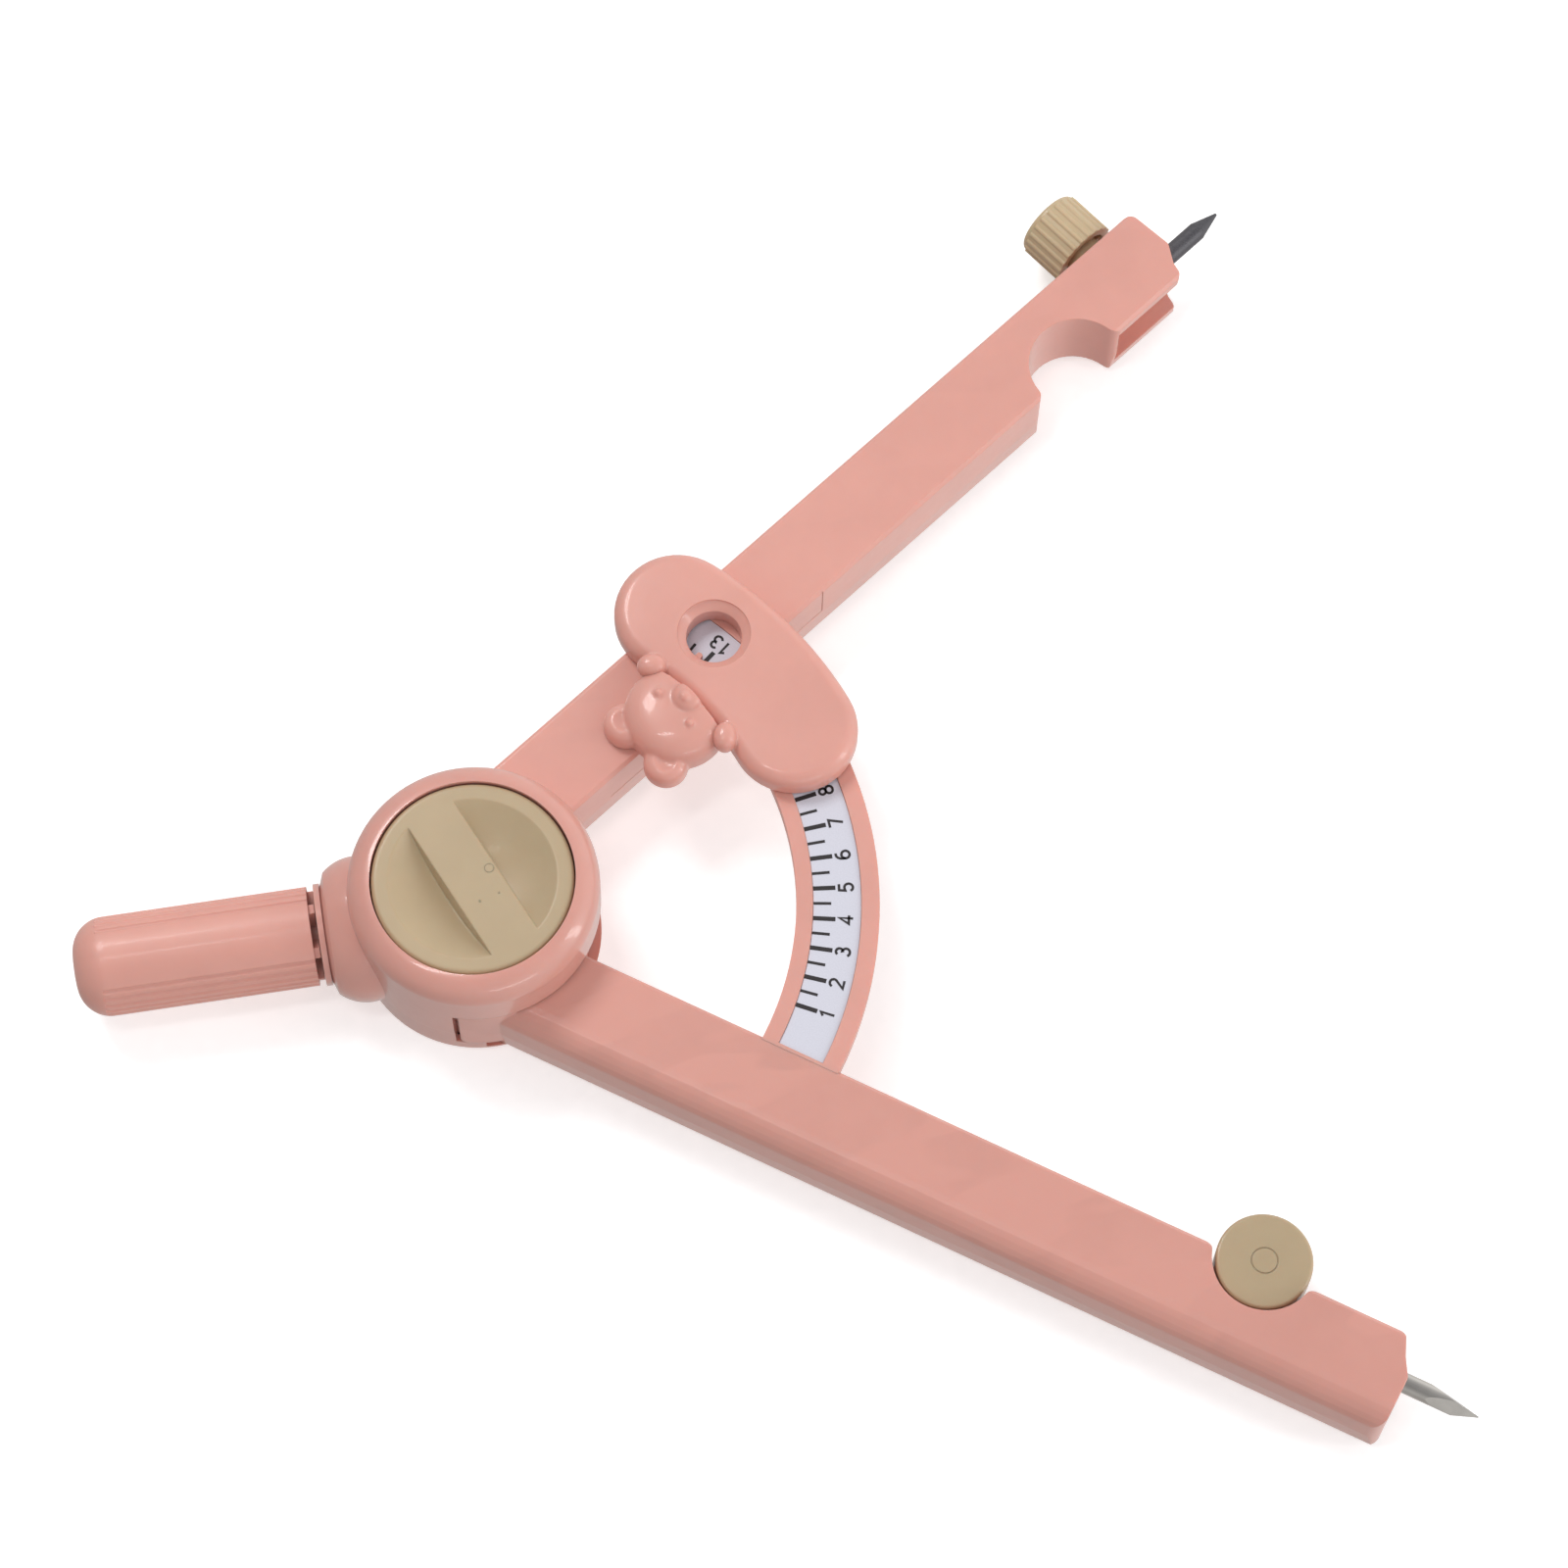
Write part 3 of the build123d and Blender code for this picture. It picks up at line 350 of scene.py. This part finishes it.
LOOKS = {
    "pink_housing": moulded("pink_housing", shade(PINK, 0.97), roughness=0.3, coat=0.5, edge=0.12),
    "pink_handle": moulded("pink_handle", PINK, roughness=0.38, coat=0.12, edge=0.12),
    "pink_cover": moulded("pink_cover", PINK, roughness=0.36, coat=0.3, edge=0.0),
    "needle_leg_pink": moulded(
        "needle_leg_pink", shade(PINK, 0.97), roughness=0.3, coat=0.2, edge=0.3, flow=1.0, turn=LEG_ANGLE
    ),
    "lead_leg_pink": moulded(
        "lead_leg_pink", shade(PINK, 1.005), roughness=0.34, coat=0.35, edge=0.2, flow=0.3, turn=-LEG_ANGLE
    ),
    "cream_plastic": moulded("cream_plastic", CREAM, roughness=0.38, coat=0.05, edge=0.35),
    "cream_wheel": moulded("cream_wheel", shade(CREAM, 0.985), roughness=0.36, coat=0.3, edge=0.15),
    # The knob's cream is made lighter than the wheel's to paint in light, because its top faces sideways
    # and catches less lamp light.
    "cream_knob_painted_light": moulded("cream_knob_painted_light", shade(CREAM, 1.07), roughness=0.36, coat=0.3, edge=0.15),
    "steel": plated("steel", (190, 190, 192), roughness=0.28),
    "needle_steel": plated(
        "needle_steel", (200, 196, 190), roughness=0.1, scratch=0.1, stretch=(0.2, 2, 2), turn=LEG_ANGLE
    ),
    "spring_steel": plated("spring_steel", (150, 150, 156), roughness=0.32),
    "brass": plated("brass", (205, 165, 95), roughness=0.26),
    "washer_nylon": moulded("washer_nylon", (226, 224, 216), roughness=0.5, coat=0.0, edge=0.05),
    "label_paper": film("label_paper", (208, 208, 219)),
    "graphite": graphite("graphite", (80, 79, 83)),
    "acetal": moulded("acetal", (232, 228, 217), roughness=0.42, coat=0.0, edge=0.1),
    "ink": ink("ink", (24, 18, 20)),
}

# Nodes that look a little different from the rest of their material slot
NODE_LOOKS = {
    "needle_leg": "needle_leg_pink",
    "channel_plate": "needle_leg_pink",
    "scale_arc": "pink_handle",
    # The knob wears the lighter cream, which paints light onto its sideways-facing top.
    "screw_knob": "cream_knob_painted_light",
    "handle_spindle": "pink_handle",
    "needle_wheel": "cream_wheel",
    "lead_leg": "lead_leg_pink",
}


def dress(obj, look):
    """Gives a piece one of the looks as its only material."""
    obj.data.materials.clear()
    obj.data.materials.append(LOOKS[look])


def dress_cad_nodes():
    """Every CAD piece has its node's own look, or else its slot's."""
    for subpart in frame["record"]["subparts"]:
        name = subpart["node"]
        dress(NODES[name], NODE_LOOKS.get(name, subpart["material_slot"]))


# ---------------------------------------------------------------- shared shapes

def spin(degrees):
    return Matrix.Rotation(math.radians(degrees), 4, "Z")


def polar(radius, degrees):
    angle = math.radians(degrees)
    return Vector((radius * math.cos(angle), radius * math.sin(angle), 0))


def shape(name, *builds, scale=1.0):
    """An object from functions that each fill a bmesh in millimetres, then scaled."""
    mesh = bpy.data.meshes.new(name)
    bm = bmesh.new()
    for build in builds:
        build(bm)
    bmesh.ops.scale(bm, vec=(scale, scale, scale), verts=bm.verts)
    bmesh.ops.recalc_face_normals(bm, faces=bm.faces)
    bm.to_mesh(mesh)
    bm.free()
    obj = bpy.data.objects.new(name, mesh)
    bpy.context.scene.collection.objects.link(obj)
    return obj


def solid(name, build, look, body):
    """A finished piece that moves with a body."""
    obj = shape(name, build, scale=MM)
    dress(obj, look)
    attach(obj, body)


def wrap(bm, rings):
    """Side faces from each closed ring of vertices to the next."""
    count = len(rings[0])
    for below, above in zip(rings, rings[1:]):
        for i in range(count):
            j = (i + 1) % count
            bm.faces.new((below[i], below[j], above[j], above[i]))


def loft(bm, sections):
    """A closed shape through (outline, height) sections, with flat ends."""
    rings = [[bm.verts.new((x, y, z)) for x, y in outline] for outline, z in sections]
    wrap(bm, rings)
    bm.faces.new(rings[0][::-1])
    bm.faces.new(rings[-1])


def slab(bm, outline, low, high):
    """A closed prism on a flat outline."""
    loft(bm, [(outline, low), (outline, high)])


def bow(x, y, rx, ry, start, end, steps=12):
    """Points on an elliptical arc, in degrees."""
    points = []
    for i in range(steps + 1):
        angle = math.radians(start + (end - start) * i / steps)
        points.append((x + rx * math.cos(angle), y + ry * math.sin(angle)))
    return points


def circle(x, y, radius, steps):
    """Points once round a circle."""
    return bow(x, y, radius, radius, 0, 360, steps)[:-1]


# ---------------------------------------------------------------- printed scale

def mark_angle(centimetres):
    """Where a radius of so many centimetres is read: half the chord over the reach."""
    swing = 2 * math.degrees(math.asin(centimetres * 10 / (2 * POINT_REACH)))
    return -LEG_ANGLE + SCALE_START + swing


def print_ticks(bm):
    """A long mark at each centimetre and a short one at each half, from 1 up."""
    for half in range(2, 2 * LAST_CENTIMETRE + 1):
        length, width = HALF_TICK if half % 2 else WHOLE_TICK
        direction = polar(1, mark_angle(half / 2))
        across = Vector((-direction.y, direction.x, 0)) * width / 2
        start = direction * (LABEL_IN + TICK_INSET)
        stop = start + direction * length
        corners = [start - across, stop - across, stop + across, start + across]
        slab(bm, [(c.x, c.y) for c in corners], LABEL_TOP, LABEL_TOP + INK)


def digit_strokes(digit):
    """The pen strokes of a plain digit, 1.38 high about its middle."""
    if digit == 0:
        return [bow(0, 0, 0.4, 0.69, 0, 360, 20)]
    if digit == 1:
        return [[(-0.26, 0.4), (0.08, 0.69), (0.08, -0.69)]]
    if digit == 2:
        return [bow(0, 0.31, 0.38, 0.38, 165, -30) + [(-0.4, -0.69), (0.42, -0.69)]]
    if digit == 3:
        upper = bow(-0.02, 0.35, 0.34, 0.34, 150, -75)
        return [upper + bow(-0.02, -0.31, 0.4, 0.38, 80, -155)]
    if digit == 4:
        return [[(0.16, -0.69), (0.16, 0.69), (-0.42, -0.28), (0.46, -0.28)]]
    if digit == 5:
        return [[(0.36, 0.69), (-0.28, 0.69), (-0.34, 0.08)] + bow(-0.02, -0.26, 0.4, 0.43, 115, -155)]
    if digit == 6:
        return [bow(0.1, 0, 0.5, 0.69, 75, 180, 8)[:-1] + bow(0, -0.28, 0.4, 0.41, 180, 540, 18)]
    if digit == 7:
        return [[(-0.4, 0.69), (0.4, 0.69), (-0.1, -0.69)]]
    if digit == 8:
        return [bow(0, 0.36, 0.32, 0.33, 0, 360, 16), bow(0, -0.33, 0.39, 0.36, 0, 360, 16)]
    return [[(-x, -y) for x, y in stroke] for stroke in digit_strokes(6)]


def ribbon(bm, points, half, low, high, place):
    """A flat pen stroke of even width along points, moved into place."""
    closed = (Vector(points[0]) - Vector(points[-1])).length < 0.001
    path = [Vector(p) for p in (points[:-1] if closed else points)]
    left = []
    right = []
    count = len(path)
    for i, point in enumerate(path):
        before = path[i - 1] if closed or i else None
        after = path[(i + 1) % count] if closed or i < count - 1 else None
        ways = []
        if before is not None:
            ways.append((point - before).normalized())
        if after is not None:
            ways.append((after - point).normalized())
        normals = [Vector((-way.y, way.x)) for way in ways]
        middle = sum(normals, Vector((0, 0))).normalized()
        reach = half / max(0.5, middle.dot(normals[0]))
        left.append(point + middle * reach)
        right.append(point - middle * reach)
    rings = []
    for side in (left, right):
        for z in (low, high):
            rings.append([bm.verts.new(place @ Vector((p.x, p.y, z))) for p in side])
    left_low, left_high, right_low, right_high = rings
    for i in range(count if closed else count - 1):
        j = (i + 1) % count
        bm.faces.new((left_high[i], left_high[j], right_high[j], right_high[i]))
        bm.faces.new((left_low[i], right_low[i], right_low[j], left_low[j]))
        bm.faces.new((left_low[i], left_low[j], left_high[j], left_high[i]))
        bm.faces.new((right_low[i], right_high[i], right_high[j], right_low[j]))
    if not closed:
        for i in (0, count - 1):
            bm.faces.new((left_low[i], left_high[i], right_high[i], right_low[i]))


def print_digits(bm):
    """Numbers outside the ticks, with their tops towards the hub."""
    for value in range(1, LAST_CENTIMETRE + 1):
        figures = [int(figure) for figure in str(value)]
        turn = mark_angle(value)
        for index, figure in enumerate(figures):
            shift = (index - (len(figures) - 1) / 2) * DIGIT_STEP
            centre = polar(LABEL_OUT - DIGIT_INSET, turn)
            place = Matrix.Translation(centre) @ spin(turn + 90) @ Matrix.Translation((shift, 0, 0))
            for stroke in digit_strokes(figure):
                ribbon(bm, stroke, PEN_HALF, LABEL_TOP, LABEL_TOP + INK, place)


def gate_marks(bm):
    """The moulding marks on the dial's bar: one fine ring and two specks."""
    low = DIAL_TOP - MARK_DEPTH
    high = DIAL_TOP + MARK_HEIGHT
    x, y, radius = GATE_RING
    ribbon(bm, bow(x, y, radius, radius, 0, 360, 24), GATE_PEN_HALF, low, high, Matrix())
    for x, y, radius in GATE_SPECKS:
        slab(bm, circle(x, y, radius, 12), low, high)


# ---------------------------------------------------------------- scale cover with its teddy

def superball(bm, centre, radii, power, turn=0.0, steps=48):
    """A closed egg: an ellipsoid, or a fuller one where power is over 2."""
    place = Matrix.Translation(centre) @ spin(turn)
    rows = []
    for i in range(1, steps // 2):
        lift = math.pi * (i / (steps // 2) - 0.5)
        flat = abs(math.cos(lift)) ** (2 / power)
        height = math.copysign(abs(math.sin(lift)) ** (2 / power), math.sin(lift))
        row = []
        for j in range(steps):
            angle = 2 * math.pi * j / steps
            x = radii[0] * flat * math.cos(angle)
            y = radii[1] * flat * math.sin(angle)
            row.append(bm.verts.new(place @ Vector((x, y, radii[2] * height))))
        rows.append(row)
    low = bm.verts.new(place @ Vector((0, 0, -radii[2])))
    high = bm.verts.new(place @ Vector((0, 0, radii[2])))
    wrap(bm, rows)
    for j in range(steps):
        k = (j + 1) % steps
        bm.faces.new((low, rows[0][k], rows[0][j]))
        bm.faces.new((high, rows[-1][j], rows[-1][k]))


def bean_outline(half, steps=24):
    """A bent slot about the cover's middle line, as wide as twice half."""
    outer = bow(0, 0, COVER_R + half, COVER_R + half, COVER_LOW, COVER_HIGH, steps)
    inner = bow(0, 0, COVER_R - half, COVER_R - half, COVER_HIGH, COVER_LOW, steps)
    high_x, high_y, _ = polar(COVER_R, COVER_HIGH)
    low_x, low_y, _ = polar(COVER_R, COVER_LOW)
    high_end = bow(high_x, high_y, half, half, COVER_HIGH, COVER_HIGH + 180, steps)
    low_end = bow(low_x, low_y, half, half, COVER_LOW + 180, COVER_LOW + 360, steps)
    return outer[:-1] + high_end[:-1] + inner[:-1] + low_end[:-1]


def bean(bm):
    """The cover's body: a flat underside, steep sides, a soft shoulder and a faintly crowned top."""
    levels = [(COVER_HALF - FOOT_INSET, COVER_BOTTOM), (COVER_HALF, COVER_BOTTOM + FOOT_HEIGHT)]
    rise = COVER_TOP - CROWN_HEIGHT - COVER_SHOULDER
    for i in range(9):
        angle = math.radians(90 * i / 8)
        half = COVER_HALF - COVER_EDGE * (1 - math.cos(angle))
        levels.append((half, COVER_SHOULDER + rise * math.sin(angle)))
    levels += [(half, COVER_TOP - drop) for half, drop in CROWN_LEVELS]
    loft(bm, [(bean_outline(half), z) for half, z in levels])


def pair(bm, centre, radii, power, away, turn):
    """Two like lumps, one on each side of a centre."""
    x, y, z = centre
    for side in (-1, 1):
        superball(bm, (x, y + away * side, z), radii, power, turn * side)


def head(bm):
    """A plain teddy's head with its eyes, muzzle and nose."""
    for lump in (HEAD, MUZZLE, NOSE):
        superball(bm, *lump)
    pair(bm, *EYES)


def ears(bm):
    pair(bm, *EARS)


def ear_hollows(bm):
    """What is cut away for the dimples in the ears."""
    pair(bm, *EAR_HOLLOWS)


def paws(bm):
    """Two paws that rest on the cover's edge."""
    pair(bm, *PAWS)


def window(bm):
    """What is cut away for the window: a round hole with a sloping lip."""
    x, y, _ = polar(COVER_R, WINDOW_ANGLE)
    lip = COVER_TOP - LIP_DEPTH
    levels = [
        (WINDOW_R, COVER_BOTTOM - 1),
        (WINDOW_R, lip - 0.3),
        (WINDOW_R + 0.12, lip - 0.15),
        (WINDOW_RING - 0.3, lip + 0.1),
        (WINDOW_RING - 0.05, COVER_TOP - 0.3),
        (WINDOW_RING, COVER_TOP - 0.25),
        (WINDOW_RING + 0.1, COVER_TOP + 1),
    ]
    loft(bm, [(circle(x, y, radius, WINDOW_SIDES), z) for radius, z in levels])


def pointer(bm):
    """The small tongue at the window's inner edge, which points at the marks."""
    start = COVER_R - WINDOW_R - POINTER_ROOT
    stop = start + POINTER_LENGTH
    neck = stop - POINTER_POINT
    corners = [(start, -0.45), (neck, -0.27), (stop, 0), (neck, 0.27), (start, 0.45)]
    turn = spin(POINTER_ANGLE)
    outline = [turn @ Vector((x, y, 0)) for x, y in corners]
    slab(bm, [(p.x, p.y) for p in outline], COVER_BOTTOM, COVER_BOTTOM + POINTER_THICK)


def settle(obj):
    """Turns an object's modifiers into its mesh."""
    bpy.context.view_layer.update()
    graph = bpy.context.evaluated_depsgraph_get()
    mesh = bpy.data.meshes.new_from_object(obj.evaluated_get(graph))
    old = obj.data
    obj.modifiers.clear()
    obj.data = mesh
    bpy.data.meshes.remove(old)


def carve(obj, tool):
    """Cuts a scratch object out of another and removes it."""
    cut = obj.modifiers.new("cut", "BOOLEAN")
    cut.operation = "DIFFERENCE"
    cut.solver = "EXACT"
    cut.object = tool
    settle(obj)
    old = tool.data
    bpy.data.objects.remove(tool)
    bpy.data.meshes.remove(old)


def fuse(obj, rounds):
    """Melts overlapping shells into one skin and rounds its creases."""
    remesh = obj.modifiers.new("skin", "REMESH")
    remesh.mode = "VOXEL"
    remesh.voxel_size = VOXEL
    smooth = obj.modifiers.new("soft", "SMOOTH")
    smooth.factor = 0.5
    smooth.iterations = rounds
    settle(obj)


def bean_space(bm):
    """The cover's own room, a little larger, which the head keeps clear of."""
    slab(bm, bean_outline(COVER_HALF + HEAD_GAP), COVER_BOTTOM - 1, COVER_TOP + 3)


def absorb(bm, obj):
    """Adds a scratch object's mesh to a bmesh and removes the object."""
    mesh = obj.data
    bm.from_mesh(mesh)
    bpy.data.objects.remove(obj)
    bpy.data.meshes.remove(mesh)


def teddy_head():
    """The head with its dimpled ears, cut back along the cover's edge."""
    side_ears = shape("ears", ears)
    carve(side_ears, shape("ear_tool", ear_hollows))
    bear = shape("bear", head)
    bm = bmesh.new()
    absorb(bm, side_ears)
    bm.from_mesh(bear.data)
    bm.to_mesh(bear.data)
    bm.free()
    fuse(bear, 1)
    carve(bear, shape("edge_tool", bean_space))
    fuse(bear, 4)
    return bear


def moulded_cover():
    """The cover and its teddy as one moulding, in place of the plain one."""
    cover = shape("moulded_cover", bean, paws)
    fuse(cover, 2)
    carve(cover, shape("window_tool", window))
    bm = bmesh.new()
    bm.from_mesh(cover.data)
    absorb(bm, teddy_head())
    absorb(bm, shape("pointer", pointer))
    for vert in bm.verts:
        vert.co.z = max(vert.co.z, COVER_BOTTOM)
    bmesh.ops.transform(bm, matrix=Matrix.Scale(MM, 4) @ spin(LEG_ANGLE), verts=bm.verts)
    bm.to_mesh(cover.data)
    bm.free()
    for face in cover.data.polygons:
        face.use_smooth = True
    cover.data.set_sharp_from_angle(angle=math.radians(SHARP_ANGLE))
    dress(cover, "pink_cover")
    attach(cover, "lead_leg")
    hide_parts("scale_cover")


# ---------------------------------------------------------------- studio

def camera():
    """A long lens, almost from above."""
    azimuth = math.radians(CAMERA_AZIMUTH)
    elevation = math.radians(CAMERA_ELEVATION)
    back = Vector((
        math.sin(azimuth) * math.cos(elevation),
        -math.cos(azimuth) * math.cos(elevation),
        math.sin(elevation),
    ))
    data = bpy.data.cameras.new("camera")
    data.lens = CAMERA_LENS
    data.sensor_width = SENSOR
    data.clip_start = 0.01
    data.clip_end = 20
    obj = bpy.data.objects.new("camera", data)
    turn = (-back).to_track_quat("-Z", "Y").to_matrix().to_4x4()
    roll = Matrix.Rotation(math.radians(CAMERA_ROLL), 4, "Z")
    place = (Vector(CAMERA_TARGET) + back * CAMERA_DISTANCE) * MM
    obj.matrix_world = Matrix.Translation(place) @ turn @ roll
    bpy.context.scene.collection.objects.link(obj)
    bpy.context.scene.camera = obj


def softbox(name, place, size, power):
    """A rectangular lamp that faces LAMP_TARGET."""
    data = bpy.data.lights.new(name, "AREA")
    data.shape = "RECTANGLE"
    data.size = size[0]
    data.size_y = size[1]
    data.energy = power
    obj = bpy.data.objects.new(name, data)
    way = Vector(LAMP_TARGET) - Vector(place)
    obj.matrix_world = Matrix.Translation(place) @ way.to_track_quat("-Z", "Y").to_matrix().to_4x4()
    bpy.context.scene.collection.objects.link(obj)


def studio():
    """A pale room with a bright horizon, a darker ceiling and a brighter right side, and soft lamps."""
    scene = bpy.context.scene
    scene.view_settings.view_transform = "Standard"
    world = bpy.data.worlds.new("studio")
    scene.world = world
    world.use_nodes = True
    tree = world.node_tree
    background = tree.nodes["Background"]
    place = tree.nodes.new("ShaderNodeTexCoord")
    split = tree.nodes.new("ShaderNodeSeparateXYZ")
    ramp = tree.nodes.new("ShaderNodeValToRGB")
    ground, zenith = ramp.color_ramp.elements
    ground.position = GROUND_END
    ground.color = GROUND
    zenith.position = ZENITH_START
    zenith.color = ZENITH
    for position in HORIZON_ENDS:
        horizon = ramp.color_ramp.elements.new(position)
        horizon.color = HORIZON
    height = tree.nodes.new("ShaderNodeMapRange")
    height.inputs["From Min"].default_value = -1.0
    tree.links.new(place.outputs["Generated"], split.inputs["Vector"])
    tree.links.new(split.outputs["Z"], height.inputs["Value"])
    tree.links.new(height.outputs["Result"], ramp.inputs["Fac"])
    tree.links.new(ramp.outputs["Color"], background.inputs["Color"])
    side = tree.nodes.new("ShaderNodeMapRange")
    side.inputs["From Min"].default_value = -1.0
    side.inputs["To Min"].default_value = DIM_SIDE
    side.inputs["To Max"].default_value = BRIGHT_SIDE
    tree.links.new(split.outputs["X"], side.inputs["Value"])
    tree.links.new(side.outputs["Result"], background.inputs["Strength"])
    for lamp in LAMPS:
        softbox(*lamp)


def sheet(bm):
    """A wide square with its top at z = 0."""
    half = FLOOR_HALF
    slab(bm, [(-half, -half), (half, -half), (half, half), (-half, half)], -FLOOR_THICK, 0)


def floor():
    """Pale paper that glows a little, and that the object itself doesn't reflect."""
    n = Nodes("floor_paper")
    grain = n.noise(n.place(), 0.8)
    paper = n.wire(
        Base_Color=n.ramp(grain, [(0.3, FLOOR_DARK), (0.7, FLOOR_LIGHT)]),
        Roughness=0.9,
        Emission_Color=(1, 1, 1, 1),
        Emission_Strength=FLOOR_GLOW,
    )
    obj = shape("floor", sheet, scale=MM)
    obj.data.materials.append(paper)
    obj.location.z = cad_low.z
    obj.visible_diffuse = False
    obj.visible_glossy = False


# ---------------------------------------------------------------- assembly

dress_cad_nodes()
solid("scale_ticks", print_ticks, "ink", "needle_leg")
solid("scale_digits", print_digits, "ink", "needle_leg")
solid("gate_marks", gate_marks, "cream_plastic", "dial")
moulded_cover()
floor()
studio()
camera()
